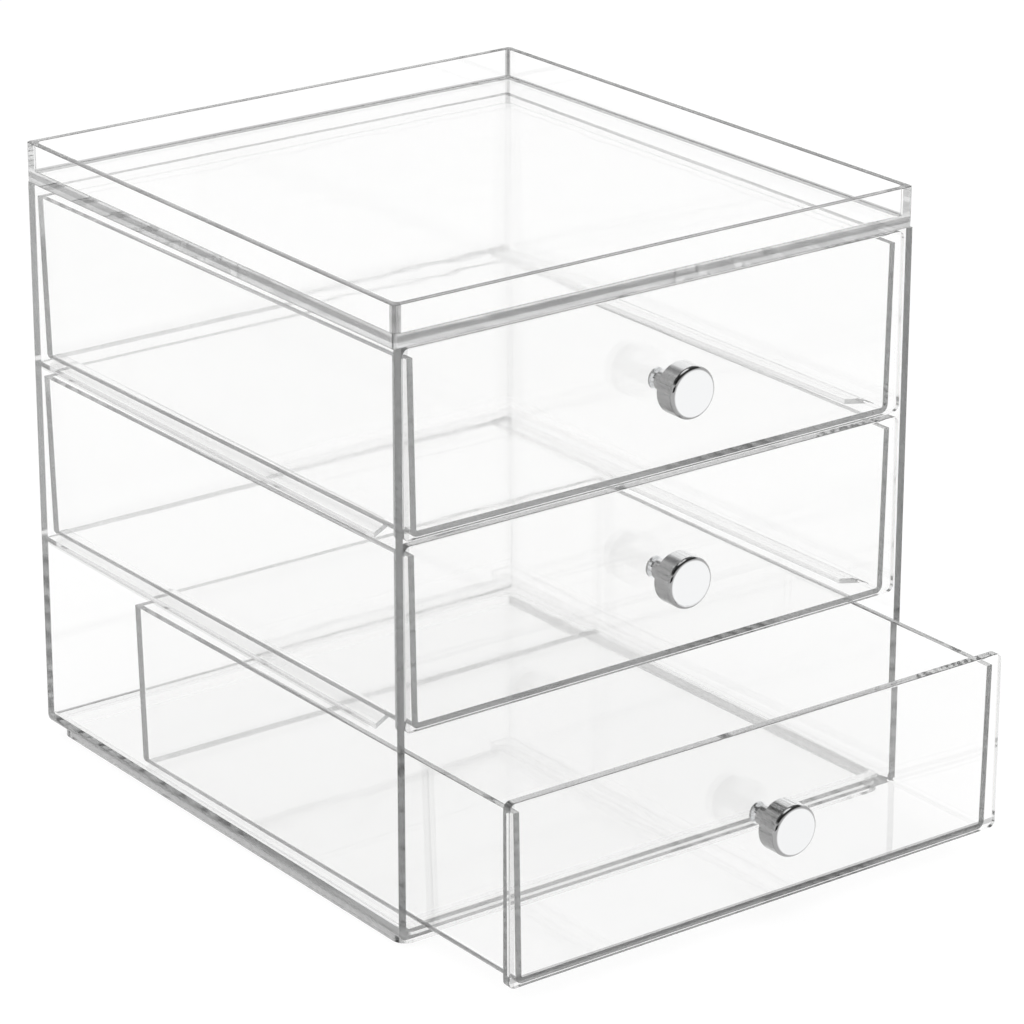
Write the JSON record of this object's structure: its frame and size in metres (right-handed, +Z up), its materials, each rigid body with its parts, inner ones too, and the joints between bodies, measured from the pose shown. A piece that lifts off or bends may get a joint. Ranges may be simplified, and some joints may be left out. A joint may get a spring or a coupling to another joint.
{
  "type": "acrylic makeup organizer drawers",
  "caption": "Clear box open at the front, with drawers one above the other on side ledges, round metal knobs and a shallow rimmed tray on top.",
  "frame": {"origin": "middle of the case's footprint, on the surface that the case stands on", "axes": "+X to the right along the front, -Y out of the front, towards which the drawers open, +Z up"},
  "size_m": [0.165, 0.2278, 0.1715],
  "materials": {
    "clear_plastic": "clear, polished",
    "chrome": "polished"
  },
  "bodies": {
    "case": {"case_shell": "clear_plastic", "top_tray": "clear_plastic"},
    "bottom_drawer": {"drawer_bottom": "clear_plastic", "knob_bottom": "chrome", "knob_screw_bottom": "chrome"},
    "middle_drawer": {"drawer_middle": "clear_plastic", "knob_middle": "chrome", "knob_screw_middle": "chrome"},
    "top_drawer": {"drawer_top": "clear_plastic", "knob_top": "chrome", "knob_screw_top": "chrome"}
  },
  "joints": [
    {"name": "bottom_slide", "type": "slide", "parent": "case", "child": "bottom_drawer", "axis": [0, -1, 0], "range_m": [-0.043, 0.077]},
    {"name": "middle_slide", "type": "slide", "parent": "case", "child": "middle_drawer", "axis": [0, -1, 0], "range_m": [0, 0.12]},
    {"name": "top_slide", "type": "slide", "parent": "case", "child": "top_drawer", "axis": [0, -1, 0], "range_m": [0, 0.12]}
  ]
}
